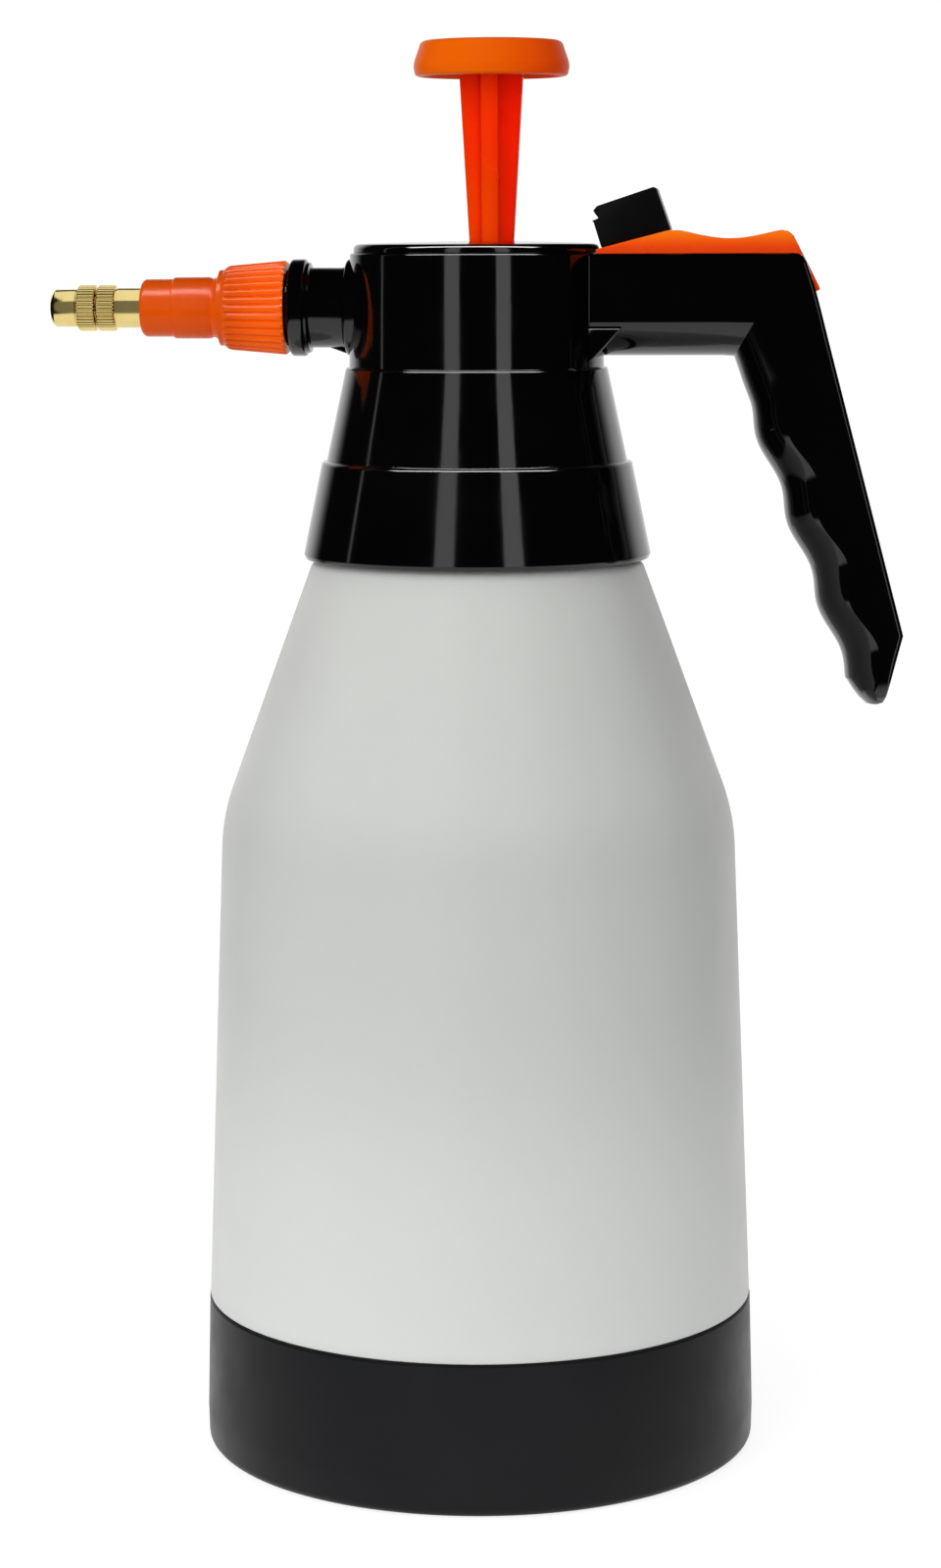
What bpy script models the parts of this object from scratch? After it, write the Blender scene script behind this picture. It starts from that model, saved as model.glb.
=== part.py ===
"""Hand pump sprayer: a tank in a base cup, and a screw-on head with its pump, handle, trigger and nozzle.

Lengths are in millimetres and become metres where a mesh is made. +Z is up, the handle points to +X and
the nozzle to -X. The origin is on the tank's axis, at the underside of the base cup.
"""

import math

import bmesh
import bpy
from mathutils import Matrix, Vector

MM = 0.001
GAP = 0.3  # between pieces that touch

# Facets round a turned piece, by its size
LARGE = 36
MEDIUM = 24
SMALL = 16

# Tank and base cup
BASE_RADIUS = 63.0
CUP_HEIGHT = 34.0
TANK_WALL = 1.8
TANK_FOOT_RADIUS = 60.3
TANK_RADIUS_LOW = 62.2
TANK_RADIUS_HIGH = 58.0
SHOULDER_Z = 145.3
SHOULDER_TOP = (36.9, 203.2)  # radius and height where the shoulder meets the neck
NECK_RADIUS = 29.2
NECK_BORE = 26.2
NECK_TOP_Z = 226.0

# Head: three stepped tiers, from the collar's lower edge to the rim
COLLAR_Z = 203.6
COLLAR_RADIUS = 39.0
FIRST_STEP_Z = 225.2
FIRST_STEP_RADII = (34.7, 33.7)
SECOND_STEP_Z = 246.1
SECOND_STEP_RADII = (29.1, 28.5)
RIM_Z = 271.4
RIM_RADIUS = 28.2
DECK_Z = (264.0, 266.4)  # the web inside the head that carries the pump barrel
SEAT_Z = (228.7, 231.4)  # the web that presses on the neck gasket
SEAT_BORE = 24.6
CAP_TOP_Z = 273.8
CAP_RADIUS = 27.4

# Pump, on its own axis beside the tank's
PUMP_X = 3.5
BARREL_RADIUS = 13.4
BARREL_BORE = 11.6
BARREL_Z = (180.0, 270.2)
ROD_HOLE = 7.4
ROD_Z = (240.3, 313.1)
ROD_HALF_WIDTH = (4.6, 7.15)
ROD_TAPER_Z = 268.0
ROD_RIB = 2.6
KNOB_Z = (309.8, 318.0)
KNOB_RADIUS = 17.4
PISTON_Z = (229.5, 240.0)

# Outlet and nozzle, along -X at this height; places are distances from the tank's axis
NOZZLE_Z = 259.3
BOSS_RADIUS = 10.75
BOSS_FACE = 29.0
SPOUT_BORE = 2.0
FLANGE = (37.8, 41.6, 10.8)  # from, to, radius
NUT = (42.4, 75.3)
BRASS_SPLIT = 85.45
BRASS_TIP = 95.8
KNURL_RADIUS = 5.1
BRASS_RADIUS = 4.45
TIP_RADIUS = 4.2

# Handle
HANDLE_HALF = 12.0
HANDLE_TOP_Z = 271.2
SIDE_EDGE_Z = 256.2
CROWN_Z = 248.6
CHANNEL_HALF = 10.0
CHANNEL_FLOOR_Z = 254.2
FINGER_PITCH = 18.6

# Trigger lever, its pivot, the lock slider and the valve below
PIVOT = (32.5, 264.5)
PIVOT_PIN_RADIUS = 1.5
PIVOT_DEPTH = 11.2  # how far the blind sockets reach into the handle's sides
LEVER_HALF = 9.6
LEVER_SKIN = 2.0
SLOPE_START = (27.9, 272.3)
SLOPE = math.radians(14.4)
SLIDER_HALF = 6.5
VALVE_X = 49.5
VALVE_Z = (254.5, 267.0)
PIN_TOP_Z = 270.0


def clear_scene():
    for old in list(bpy.data.objects):
        bpy.data.objects.remove(old, do_unlink=True)


def material(name, colour, roughness, metallic=0.0):
    made = bpy.data.materials.new(name)
    made.use_nodes = True
    shader = made.node_tree.nodes["Principled BSDF"]
    shader.inputs["Base Color"].default_value = (*colour, 1.0)
    shader.inputs["Roughness"].default_value = roughness
    shader.inputs["Metallic"].default_value = metallic
    return made


def finish_mesh(name, bm, look, origin=(0, 0, 0), sharp_deg=35):
    """Makes the object from millimetres, with its own origin at `origin`."""
    bmesh.ops.recalc_face_normals(bm, faces=bm.faces[:])
    if bm.calc_volume(signed=True) < 0:
        bmesh.ops.reverse_faces(bm, faces=bm.faces[:])
    bm.transform(Matrix.Translation(-Vector(origin)))
    bm.transform(Matrix.Scale(MM, 4))
    mesh = bpy.data.meshes.new(name)
    bm.to_mesh(mesh)
    bm.free()
    mesh.shade_smooth()
    mesh.set_sharp_from_angle(angle=math.radians(sharp_deg))
    obj = bpy.data.objects.new(name, mesh)
    bpy.context.scene.collection.objects.link(obj)
    obj.location = Vector(origin) * MM
    if look:
        mesh.materials.append(look)
    return obj


def rounded(points, steps=2):
    """The outline with an arc at each point that gives a third number, the radius."""
    made = []
    for i, point in enumerate(points):
        here = Vector(point[:2])
        if len(point) < 3:
            made.append(tuple(here))
            continue
        before = (Vector(points[i - 1][:2]) - here).normalized()
        after = (Vector(points[(i + 1) % len(points)][:2]) - here).normalized()
        half = before.angle(after) / 2
        reach = point[2] / math.tan(half)
        centre = here + (before + after).normalized() * (point[2] / math.sin(half))
        start = here + before * reach - centre
        turn = start.angle_signed(here + after * reach - centre)
        for k in range(steps + 1):
            made.append(tuple(centre + Matrix.Rotation(-turn * k / steps, 2) @ start))
    return made


def turned(name, outline, look, sides=MEDIUM, axis="Z", centre_x=0.0, origin=(0, 0, 0)):
    """Spins (radius, height) points about an axis. An outline that starts on the axis also ends on it.

    Axis Z is the vertical line at centre_x. Axis X is the nozzle's line, with heights counted along -X.
    """
    bm = bmesh.new()
    verts = [bm.verts.new((r, 0, h)) for r, h in outline]
    pairs = list(zip(verts, verts[1:]))
    if outline[0][0] > 0:
        pairs.append((verts[-1], verts[0]))
    edges = [bm.edges.new(pair) for pair in pairs]
    bmesh.ops.spin(
        bm, geom=verts + edges, cent=(0, 0, 0), axis=(0, 0, 1), angle=2 * math.pi, steps=sides, use_merge=True
    )
    bmesh.ops.remove_doubles(bm, verts=bm.verts[:], dist=0.001)
    if axis == "X":
        bm.transform(Matrix.Translation((0, 0, NOZZLE_Z)) @ Matrix.Rotation(math.radians(-90), 4, "Y"))
    else:
        bm.transform(Matrix.Translation((centre_x, 0, 0)))
    return finish_mesh(name, bm, look, origin)


def prism(name, outline, half, look=None, origin=(0, 0, 0), middle_y=0.0):
    """An (x, z) outline made solid from middle_y - half to middle_y + half."""
    bm = bmesh.new()
    face = bm.faces.new([bm.verts.new((x, middle_y - half, z)) for x, z in outline])
    moved = bmesh.ops.extrude_face_region(bm, geom=[face])["geom"]
    moved_verts = [item for item in moved if isinstance(item, bmesh.types.BMVert)]
    bmesh.ops.translate(bm, vec=(0, 2 * half, 0), verts=moved_verts)
    return finish_mesh(name, bm, look, origin)


def rod(name, start, end, radius, look=None, sides=SMALL, origin=(0, 0, 0)):
    """A round bar between two points."""
    start, end = Vector(start), Vector(end)
    bm = bmesh.new()
    bmesh.ops.create_cone(
        bm, cap_ends=True, segments=sides, radius1=radius, radius2=radius, depth=(end - start).length
    )
    bm.transform((end - start).to_track_quat("Z", "Y").to_matrix().to_4x4())
    bm.transform(Matrix.Translation((start + end) / 2))
    return finish_mesh(name, bm, look, origin)


def combine(obj, tool, operation="DIFFERENCE"):
    """Cuts the tool from the object, or joins it on, and hides the tool."""
    tool.hide_render = True
    tool.display_type = "WIRE"
    change = obj.modifiers.new(tool.name, "BOOLEAN")
    change.operation = operation
    change.solver = "EXACT"
    change.object = tool


def smooth_route(points, per_span):
    """Points along a Catmull-Rom curve through the route's own points."""
    ends = [2 * Vector(points[0]) - Vector(points[1]), 2 * Vector(points[-1]) - Vector(points[-2])]
    route = [ends[0], *map(Vector, points), ends[1]]
    made = []
    for a, b, c, d in zip(route, route[1:], route[2:], route[3:]):
        for k in range(per_span):
            t = k / per_span
            curved = (2 * a - 5 * b + 4 * c - d) * t**2 + (3 * b - a - 3 * c + d) * t**3
            made.append((2 * b + (c - a) * t + curved) / 2)
    return [*made, Vector(points[-1])]


def wire(name, points, radius, look, resolution=2):
    """A round wire or tube along points, as a curve with filled caps."""
    curve = bpy.data.curves.new(name, "CURVE")
    curve.dimensions = "3D"
    curve.bevel_depth = radius * MM
    curve.bevel_resolution = resolution
    curve.use_fill_caps = True
    spline = curve.splines.new("POLY")
    spline.points.add(len(points) - 1)
    for target, point in zip(spline.points, points):
        target.co = (*(Vector(point) * MM), 1.0)
    curve.materials.append(look)
    obj = bpy.data.objects.new(name, curve)
    bpy.context.scene.collection.objects.link(obj)
    return obj


def torus_outline(ring_radius, height, wire_radius, steps=10):
    """The circle that spins into an O-ring."""
    turns = [2 * math.pi * k / steps for k in range(steps)]
    return [(ring_radius + wire_radius * math.cos(a), height + wire_radius * math.sin(a)) for a in turns]


# ---- Tank body ----


def make_base_cup(look):
    inner = TANK_FOOT_RADIUS + GAP
    outline = [
        (0, 0),
        (22, 0),
        (23, 1.0),
        (46, 1.0),
        (47, 0),
        (BASE_RADIUS - 0.2, 0, 2.0),
        (BASE_RADIUS, 8.0),
        (TANK_RADIUS_LOW, CUP_HEIGHT),
        (inner, CUP_HEIGHT),
        (inner, 2.6, 4.0),
        (0, 2.6),
    ]
    return turned("base_cup", rounded(outline), look, sides=LARGE)


def make_tank(look):
    foot = 2.6 + GAP
    wall = TANK_WALL
    top_r, top_z = SHOULDER_TOP
    outer = [
        (0, foot + 3.0),
        (40, foot + 2.0),
        (50, foot),
        (TANK_FOOT_RADIUS, foot, 5.0),
        (TANK_FOOT_RADIUS, CUP_HEIGHT + GAP),
        (TANK_RADIUS_LOW, CUP_HEIGHT + GAP),
        (TANK_RADIUS_HIGH, SHOULDER_Z, 45.0),
        (top_r, top_z, 3.5),
        (NECK_RADIUS, top_z + 1.4),
        (NECK_RADIUS, NECK_TOP_Z),
    ]
    inner = [
        (NECK_BORE, NECK_TOP_Z),
        (NECK_BORE, top_z - 0.6),
        (top_r - 2.6, top_z - 2.4),
        (TANK_RADIUS_HIGH - wall - 0.1, SHOULDER_Z - 0.6),
        (TANK_RADIUS_LOW - wall - 0.2, CUP_HEIGHT + 4.0),
        (TANK_FOOT_RADIUS - wall, CUP_HEIGHT - 2.0),
        (TANK_FOOT_RADIUS - wall, foot + 2.0, 4.0),
        (49, foot + 2.0),
        (40, foot + 4.0),
        (0, foot + 5.0),
    ]
    return turned("tank", rounded(outer + inner), look, sides=LARGE)


def make_neck_gasket(look):
    low, high = NECK_TOP_Z + GAP, SEAT_Z[0] - GAP
    outline = [(25.2, high), (29.8, high), (29.8, low), (25.2, low)]
    return turned("neck_gasket", outline, look, sides=LARGE)


# ---- Head ----


def make_head_housing(look):
    deck_low, deck_high = DECK_Z
    seat_low, seat_high = SEAT_Z
    wall = 2.2
    outline = [
        (0, deck_low),
        (RIM_RADIUS - wall, deck_low),
        (SECOND_STEP_RADII[1] - wall - 0.2, SECOND_STEP_Z),
        (30.4, seat_high),
        (SEAT_BORE, seat_high),
        (SEAT_BORE, seat_low),
        (30.9, seat_low),
        (30.9, COLLAR_Z + 2.8),
        (32.7, COLLAR_Z + 2.8),
        (32.7, FIRST_STEP_Z - 4.5),
        (COLLAR_RADIUS - wall, COLLAR_Z),
        (COLLAR_RADIUS - 0.7, COLLAR_Z),
        (COLLAR_RADIUS, COLLAR_Z + 1.4),
        (FIRST_STEP_RADII[0], FIRST_STEP_Z, 0.6),
        (FIRST_STEP_RADII[1], FIRST_STEP_Z),
        (SECOND_STEP_RADII[0], SECOND_STEP_Z, 0.4),
        (SECOND_STEP_RADII[1], SECOND_STEP_Z),
        (RIM_RADIUS, RIM_Z),
        (RIM_RADIUS - wall, RIM_Z),
        (RIM_RADIUS - wall, deck_high),
        (0, deck_high),
    ]
    head = turned("head_housing", rounded(outline), look, sides=LARGE)
    boss = [(0, 22.5), (BOSS_RADIUS, 22.5), (BOSS_RADIUS, BOSS_FACE), (0, BOSS_FACE)]
    combine(head, turned("boss_tool", boss, None, axis="X"), "UNION")
    seat_radius = RIM_RADIUS - wall - 0.1
    combine(head, rod("cap_seat", (0, 0, deck_high - 0.05), (0, 0, 280), seat_radius, sides=LARGE))
    combine(head, rod("spout_hole", (-20, 0, NOZZLE_Z), (-32, 0, NOZZLE_Z), 6.3, sides=MEDIUM))
    combine(head, rod("barrel_hole", (PUMP_X, 0, 262), (PUMP_X, 0, 268), BARREL_RADIUS + 0.4, sides=LARGE))
    combine(head, rod("dip_tube_hole", (22, 4, 257.2), (32, 4, 257.2), 3.4))
    combine(head, rod("feed_tube_hole", (22, -5, 259), (32, -5, 259), 2.7))
    return head


def make_top_cap(look):
    outline = [
        (0, CAP_TOP_Z - 2.9),
        (23.2, CAP_TOP_Z - 2.9),
        (23.2, DECK_Z[1] + 0.8),
        (25.6, DECK_Z[1] + 0.8),
        (25.6, RIM_Z + GAP),
        (CAP_RADIUS, RIM_Z + GAP),
        (CAP_RADIUS, CAP_TOP_Z - 1.0, 0.9),
        (24.5, CAP_TOP_Z - 0.5),
        (12.0, CAP_TOP_Z - 0.1),
        (0, CAP_TOP_Z),
    ]
    cap = turned("top_cap", rounded(outline), look, sides=LARGE)
    combine(cap, rod("rod_hole", (PUMP_X, 0, 260), (PUMP_X, 0, 280), ROD_HOLE, sides=LARGE))
    return cap


# ---- Pump ----


def make_pump_barrel(look):
    low, high = BARREL_Z
    outline = [
        (1.6, low),
        (BARREL_RADIUS - 0.4, low),
        (BARREL_RADIUS, high - 2.0),
        (17.0, high - 2.0),
        (17.0, high),
        (BARREL_BORE, high),
        (BARREL_BORE, low + 2.4),
        (1.6, low + 2.4),
    ]
    return turned("pump_barrel", outline, look, centre_x=PUMP_X)


def make_rod_bush(look):
    low, high = BARREL_Z[1] - 6.0, BARREL_Z[1]
    outline = [(ROD_HOLE, high), (BARREL_BORE - GAP, high), (BARREL_BORE - GAP, low), (ROD_HOLE, low)]
    return turned("rod_bush", outline, look, centre_x=PUMP_X)


def make_barrel_o_ring(look):
    outline = torus_outline(15.4, (DECK_Z[1] + BARREL_Z[1] - 2.0) / 2, 0.7, steps=6)
    return turned("barrel_o_ring", outline, look, centre_x=PUMP_X)


def make_check_valve(look):
    floor = BARREL_Z[0]
    outline = [
        (0, floor - 1.9),
        (4.0, floor - 1.9),
        (7.0, floor - GAP),
        (1.2, floor - GAP),
        (1.2, floor + 2.8),
        (2.1, floor + 2.9),
        (1.4, floor + 4.6),
        (0, floor + 5.0),
    ]
    return turned("check_valve", outline, look, sides=SMALL, centre_x=PUMP_X)


def make_pump_rod(look, origin):
    """A cross-shaped rod that widens towards the knob."""
    stations = [
        (ROD_Z[0], ROD_HALF_WIDTH[0]),
        (ROD_TAPER_Z, ROD_HALF_WIDTH[0]),
        (ROD_Z[1], ROD_HALF_WIDTH[1]),
    ]
    rib = ROD_RIB / 2
    bm = bmesh.new()
    rings = []
    for z, half in stations:
        corners = []
        for quarter in range(4):
            spin = Matrix.Rotation(quarter * math.pi / 2, 2)
            for x, y in ((rib, -half), (rib, -rib), (half, -rib)):
                at = spin @ Vector((x, y))
                corners.append(bm.verts.new((PUMP_X + at.x, at.y, z)))
        rings.append(corners)
    count = len(rings[0])
    for low, high in zip(rings, rings[1:]):
        for k in range(count):
            bm.faces.new((low[k], low[(k + 1) % count], high[(k + 1) % count], high[k]))
    bm.faces.new(rings[0])
    bm.faces.new(rings[-1])
    return finish_mesh("pump_rod", bm, look, origin)


def make_pump_knob(look, origin):
    low, high = KNOB_Z
    outline = [
        (0, high),
        (11.0, high - 0.2),
        (KNOB_RADIUS, high - 1.5, 4.5),
        (KNOB_RADIUS, low, 1.2),
        (KNOB_RADIUS - 2.2, low),
        (KNOB_RADIUS - 3.4, ROD_Z[1] + GAP),
        (0, ROD_Z[1] + GAP),
    ]
    return turned("pump_knob", rounded(outline, steps=3), look, sides=LARGE, centre_x=PUMP_X, origin=origin)


def make_piston(look, origin):
    low, high = PISTON_Z
    reach = BARREL_BORE - 0.6
    outline = [
        (0, low),
        (reach, low),
        (reach, low + 3.0),
        (6.2, low + 3.0),
        (6.2, high - 3.2),
        (reach, high - 3.2),
        (reach, high),
        (0, high),
    ]
    return turned("piston", outline, look, centre_x=PUMP_X, origin=origin)


def make_piston_seal(look, origin):
    low, high = PISTON_Z[0] + 3.0 + GAP, PISTON_Z[1] - 3.2 - GAP
    reach = BARREL_BORE - 0.25
    outline = [(6.5, low), (reach, low), (reach - 0.5, (low + high) / 2), (reach, high), (6.5, high)]
    return turned("piston_seal", outline, look, centre_x=PUMP_X, origin=origin)


# ---- Liquid path ----


def make_dip_tube(look):
    route = [(43.2, 4, 257.5), (34, 4, 257.5), (27.4, 4, 257.4), (23.4, 4, 255.6), (21.3, 4, 251.4)]
    down = [(20.9, 4, z) for z in (241, 210, 160, 110, 60, 17)]
    return wire("dip_tube", smooth_route(route + down, 2), 2.5, look)


def make_strainer(look):
    outer = [(0, 9.6), (4.4, 9.6), (5.0, 10.4), (5.0, 20.0), (4.2, 22.0)]
    outline = outer + [(2.9, 22.0), (2.9, 16.6), (0, 16.6)]
    strainer = turned("dip_tube_strainer", outline, look, sides=SMALL)
    strainer.location = Vector((20.9, 4, 0)) * MM
    return strainer


def make_feed_tube(look):
    route = [
        (43.2, -5, 259),
        (34, -5, 259),
        (25.5, -5.2, 259),
        (20, -8.8, 259.2),
        (13, -15.5, NOZZLE_Z),
        (3.5, -18.8, NOZZLE_Z),
        (-6, -17, NOZZLE_Z),
        (-12.6, -11, NOZZLE_Z),
        (-14.6, -4.4, NOZZLE_Z),
        (-17, -0.8, NOZZLE_Z),
        (-20.6, 0, NOZZLE_Z),
    ]
    return wire("feed_tube", smooth_route(route, 2), 1.9, look)


def make_valve_body(look):
    low, high = VALVE_Z
    outline = [(VALVE_X - 6, low), (VALVE_X + 6, low), (VALVE_X + 6, high), (VALVE_X - 6, high)]
    body = prism("valve_body", outline, 7.0, look)
    combine(body, rod("valve_chamber", (VALVE_X, 0, low + 1.3), (VALVE_X, 0, high + 2), 4.3))
    return body


def make_valve_gland(look):
    high = VALVE_Z[1]
    outline = [(1.7, high), (4.0, high), (4.0, high - 2.0), (1.7, high - 2.0)]
    return turned("valve_gland", outline, look, sides=SMALL, centre_x=VALVE_X)


def make_valve_seal(look):
    high = VALVE_Z[1] - 2.0 - GAP
    outline = [(1.7, high), (3.9, high), (3.9, high - 1.2), (1.7, high - 1.2)]
    return turned("valve_seal", outline, look, sides=SMALL, centre_x=VALVE_X)


def make_valve_pin(look):
    seat = VALVE_Z[1] - 2.0 - 1.2 - 2 * GAP
    outline = [
        (0, seat - 2.2),
        (1.4, seat - 2.2),
        (1.4, seat - 1.4),
        (3.7, seat - 1.4),
        (3.7, seat),
        (1.4, seat),
        (1.4, PIN_TOP_Z - 0.5),
        (0.9, PIN_TOP_Z),
        (0, PIN_TOP_Z),
    ]
    origin = (VALVE_X, 0, seat)
    return turned("valve_pin", outline, look, sides=SMALL, centre_x=VALVE_X, origin=origin)


def make_valve_spring(look):
    low, high = VALVE_Z[0] + 1.3 + 0.65, VALVE_Z[1] - 2.0 - 1.2 - 2 * GAP - 1.4 - 0.65
    turns, per_turn = 4.0, 10
    count = int(turns * per_turn)
    points = []
    for k in range(count + 1):
        angle = 2 * math.pi * k / per_turn
        height = low + (high - low) * k / count
        points.append((VALVE_X + 2.7 * math.cos(angle), 2.7 * math.sin(angle), height))
    return wire("valve_spring", points, 0.35, look, resolution=1)


# ---- Outlet and nozzle ----


def make_outlet_spout(look):
    flange_from, flange_to, flange_radius = FLANGE
    outline = [
        (SPOUT_BORE, 21.0),
        (6.0, 21.0),
        (6.0, BOSS_FACE + GAP),
        (8.9, BOSS_FACE + GAP),
        (8.9, flange_from),
        (flange_radius, flange_from, 1.0),
        (flange_radius, flange_to, 1.0),
        (7.7, flange_to),
        (7.7, 54.6),
        (6.9, 55.6),
        (SPOUT_BORE, 55.6),
    ]
    return turned("outlet_spout", rounded(outline), look, axis="X")


def make_outlet_washer(look, origin):
    outline = [(2.4, 55.9), (7.2, 55.9), (7.2, 57.2), (2.4, 57.2)]
    return turned("outlet_washer", outline, look, axis="X", origin=origin)


def make_nozzle_nut(look, origin):
    skirt_end, front = NUT
    outline = [
        (8.1, skirt_end),
        (10.45, skirt_end),
        (9.35, 55.3, 1.0),
        (6.85, 59.3),
        (6.85, 67.9),
        (6.45, 68.2),
        (6.45, front, 1.2),
        (BRASS_RADIUS + GAP, front),
        (BRASS_RADIUS + GAP, 62.4),
        (2.6, 62.4),
        (2.6, 57.5),
        (8.1, 57.5),
    ]
    return turned("nozzle_nut", rounded(outline), look, axis="X", origin=origin)


def make_nozzle_body(look, origin):
    split = BRASS_SPLIT - GAP / 2
    outline = [
        (1.2, 62.8),
        (BRASS_RADIUS, 62.8),
        (BRASS_RADIUS, 81.3),
        (KNURL_RADIUS, 81.6),
        (KNURL_RADIUS, split),
        (2.85, split),
        (2.85, 91.6),
        (1.2, 91.6),
    ]
    return turned("nozzle_body", outline, look, axis="X", origin=origin)


def make_nozzle_cap(look, origin):
    split = BRASS_SPLIT + GAP / 2
    outline = [
        (3.15, split),
        (KNURL_RADIUS, split),
        (KNURL_RADIUS, 89.6),
        (TIP_RADIUS, 90.0),
        (TIP_RADIUS, BRASS_TIP - 1.0),
        (TIP_RADIUS - 0.9, BRASS_TIP),
        (1.4, BRASS_TIP),
        (0.5, BRASS_TIP - 0.9),
        (0.5, 92.8),
        (3.15, 92.4),
        (3.15, 88.9),
        (3.85, 88.9),
        (3.85, 87.3),
        (3.15, 87.3),
    ]
    return turned("nozzle_cap", outline, look, axis="X", origin=origin)


def make_nozzle_o_ring(look, origin):
    outline = torus_outline(3.35, 88.1, 0.28, steps=6)
    return turned("nozzle_o_ring", outline, look, axis="X", origin=origin)


def make_swirl_core(look, origin):
    outline = [(0, 84.0), (0.85, 84.0), (0.85, 91.9), (0, 92.3)]
    return turned("swirl_core", outline, look, sides=SMALL, axis="X", origin=origin)


# ---- Handle, trigger and lock ----


def back_x(z):
    """The grip's palm side: a straight line that turns in at the tip."""
    return 76.5 + 0.2626 * (258.9 - z) if z > 187.3 else 95.3 - 0.259 * (187.3 - z)


def finger_line_x(z):
    return 60.5 + 0.3715 * (240.5 - z)


def crown_x(z):
    """The finger side's middle, with a swell between fingers."""
    swell = 0.85 * math.cos(2 * math.pi * (z - 211.0) / FINGER_PITCH)
    return finger_line_x(z) - 1.1 - swell


def crease_x(z):
    """Where the flat side turns into the rounded finger side."""
    return finger_line_x(z) + 7.2 - 1.35 * math.cos(2 * math.pi * (z - 213.0) / FINGER_PITCH)


def handle_stations():
    """(outer, crease, crown, half width) along the handle, the first three as (x, z)."""
    half = HANDLE_HALF
    stations = [((x, HANDLE_TOP_Z), (x, SIDE_EDGE_Z), (x, CROWN_Z), half) for x in (22.0, 40.0)]
    corner = [
        ((71.2, HANDLE_TOP_Z), (59.0, SIDE_EDGE_Z), (55.0, CROWN_Z)),
        ((72.7, 270.8), (61.4, 256.0), (56.6, 248.3)),
        ((73.6, 269.5), (62.3, 255.5), (57.6, 247.2)),
        ((75.3, 263.4), (63.6, 252.6), (58.6, 245.0)),
        ((78.0, 253.2), (65.6, 247.5), (59.8, 242.4)),
    ]
    stations += [(*three, half) for three in corner]
    steps = 26
    top_z, tip_z = 239.0, 177.0
    for k in range(steps + 1):
        z = top_z + (tip_z - top_z) * k / steps
        stations.append(((back_x(z), z), (crease_x(z), z), (crown_x(z), z), half))
    stations.append(((91.9, 174.4), (90.2, 174.0), (85.2, 173.0), half - 1.0))
    stations.append(((91.2, 173.0), (89.9, 172.2), (87.4, 171.0), half - 4.0))
    return stations


def make_handle(look):
    arc = 8
    bm = bmesh.new()
    rings = []
    for outer, crease, crown, half in handle_stations():
        ring = [bm.verts.new((outer[0], -half, outer[1]))]
        for k in range(arc + 1):
            turn = math.pi * k / arc
            blend = math.sin(turn)
            x = crease[0] + (crown[0] - crease[0]) * blend
            z = crease[1] + (crown[1] - crease[1]) * blend
            ring.append(bm.verts.new((x, -half * math.cos(turn), z)))
        ring.append(bm.verts.new((outer[0], half, outer[1])))
        rings.append(ring)
    count = len(rings[0])
    for one, two in zip(rings, rings[1:]):
        for k in range(count):
            bm.faces.new((one[k], one[(k + 1) % count], two[(k + 1) % count], two[k]))
    bm.faces.new(rings[0])
    bm.faces.new(rings[-1])
    handle = finish_mesh("handle", bm, look)
    for side in (-1, 1):
        gusset = [(22, 255.8), (32.6, 255.8), (26.2, 247.7), (22, 247.7)]
        combine(handle, prism(f"gusset_{side}", gusset, 1.1, middle_y=side * (HANDLE_HALF - 1.2)), "UNION")
    channel = [(20, CHANNEL_FLOOR_Z), (69, CHANNEL_FLOOR_Z), (69, 257.5), (90, 257.5), (90, 280), (20, 280)]
    combine(handle, prism("channel", channel, CHANNEL_HALF))
    grip_core = [(63.5, 258.5), (75.6, 258.5), (91.6, 192.0), (85.4, 192.0)]
    combine(handle, prism("grip_core", grip_core, 9.0))
    combine(handle, rod("head_clearance", (0, 0, 240), (0, 0, 280), SECOND_STEP_RADII[1] + GAP, sides=LARGE))
    x, z = PIVOT
    combine(handle, rod("pivot_sockets", (x, -PIVOT_DEPTH, z), (x, PIVOT_DEPTH, z), PIVOT_PIN_RADIUS + 0.3))
    return handle


def make_pivot_pin(look):
    x, z = PIVOT
    half = PIVOT_DEPTH - GAP
    return rod("trigger_pivot_pin", (x, -half, z), (x, half, z), PIVOT_PIN_RADIUS, look)


def on_slope(along, above):
    """(x, z) of a place counted along and above the slope that carries the lock slider."""
    cos, sin = math.cos(SLOPE), math.sin(SLOPE)
    return SLOPE_START[0] + along * cos - above * sin, SLOPE_START[1] + along * sin + above * cos


def lever_top(below=0.0):
    """The lever's upper outline, from the slope over the thumb rest, `below` under the surface."""
    dip_from, dip_to, dip_depth, dip_z = 44.9, 67.8, 1.8, 276.2
    points = [on_slope(-2.0, -below), on_slope(16.6, -below)]
    for k in range(9):
        share = k / 8
        depth = dip_depth * math.sin(math.pi * share)
        points.append((dip_from + (dip_to - dip_from) * share, dip_z - depth - below))
    return points


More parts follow.
